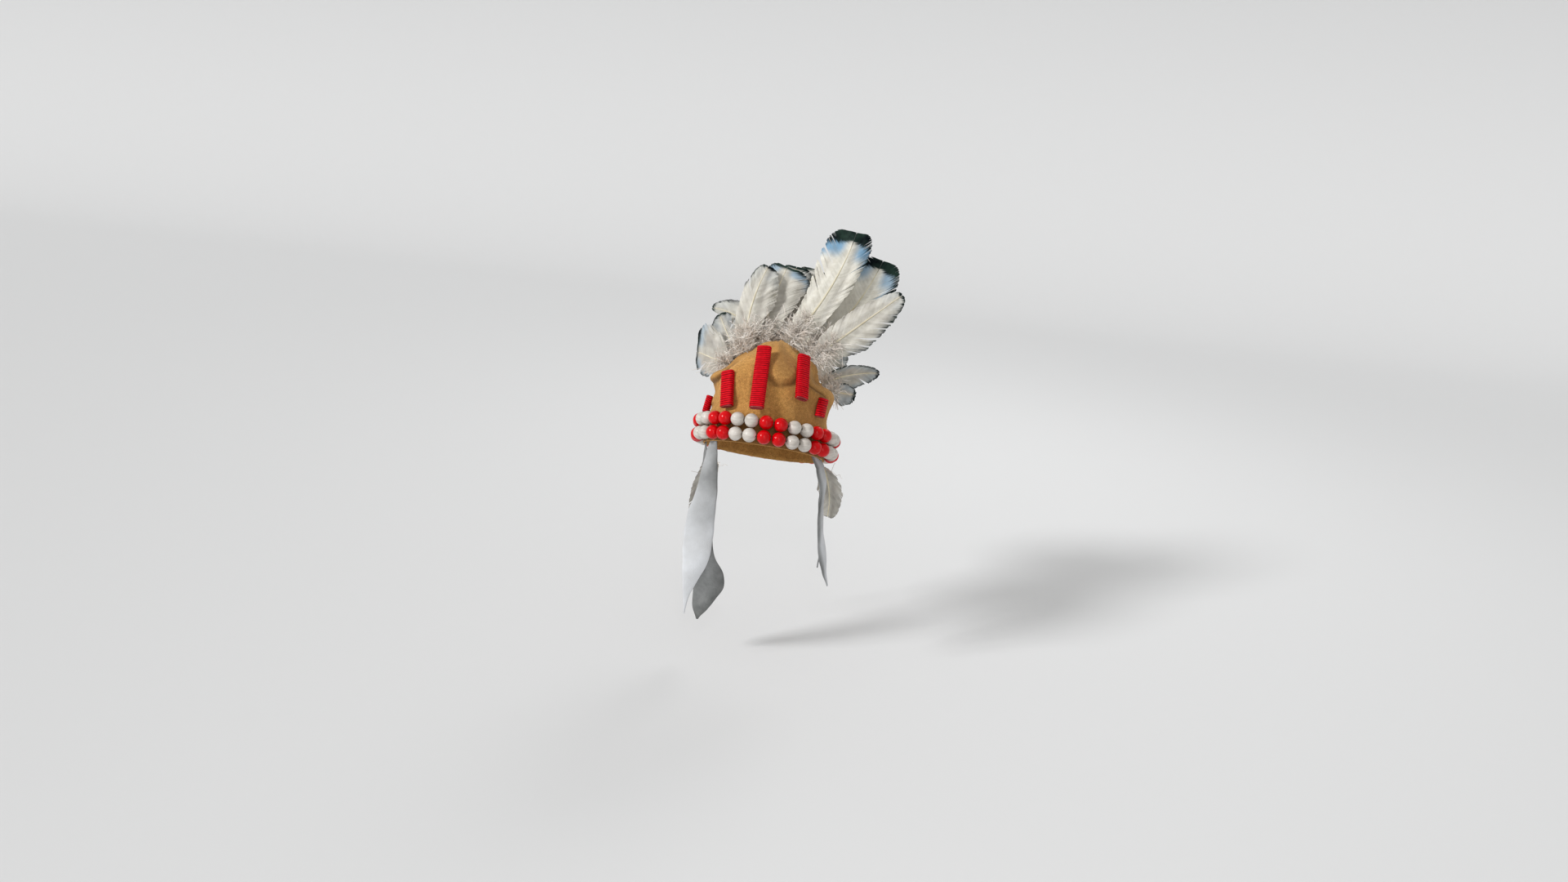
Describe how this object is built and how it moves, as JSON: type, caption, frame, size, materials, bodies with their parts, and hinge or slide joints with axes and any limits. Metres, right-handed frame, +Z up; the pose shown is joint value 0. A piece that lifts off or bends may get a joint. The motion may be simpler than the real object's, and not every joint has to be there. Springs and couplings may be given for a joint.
{
  "type": "feathered headdress",
  "caption": "Soft felt cap held up on a head, with a two-row bead band, cord-wrapped bars, a spray of feathers on the crown, and leather strips and feathers hanging at the sides.",
  "frame": {"origin": "middle of the crown's open rim, where the wearer's head goes in", "axes": "+Z up as worn, -Y the wearer's front, +X the wearer's left. The crown leans back, so its rim plane is tipped 24.5 degrees with the front edge up"},
  "size_m": [0.2713, 0.3138, 0.528],
  "materials": {
    "felt": "soft brushed felt with a suede nap, golden tan",
    "red_cord": "fine red cord wound close on a flat tube",
    "bead": "glossy red and satin off-white round beads, in pairs of each colour",
    "feather": "ivory feather with a cream shaft and a dark blue-green tip",
    "leather": "matt white soft leather"
  },
  "bodies": {
    "root": {"felt_crown": "felt", "bead_string_lower": "bead", "bead_string_upper": "bead", "wrapped_bar_far_right": "red_cord", "wrapped_bar_right": "red_cord", "wrapped_bar_centre": "red_cord", "wrapped_bar_left": "red_cord", "wrapped_bar_far_left": "red_cord", "feather_tall": "feather", "feather_left_inner": "feather", "feather_left_middle": "feather", "feather_left_outer": "feather", "feather_left_low": "feather", "feather_right_inner": "feather", "feather_right_front": "feather", "feather_middle_back": "feather", "feather_behind_tall": "feather", "feather_right_high": "feather", "feather_right_middle": "feather", "feather_right_outer": "feather", "feather_back_right": "feather", "feather_back_middle_right": "feather", "feather_back_middle_left": "feather", "feather_back_left": "feather", "hanging_feather_left": "feather", "hanging_feather_right": "feather", "side_strip_front_right": "leather", "side_strip_back_right": "leather", "side_strip_front_left": "leather", "side_strip_back_left": "leather"}
  },
  "joints": []
}
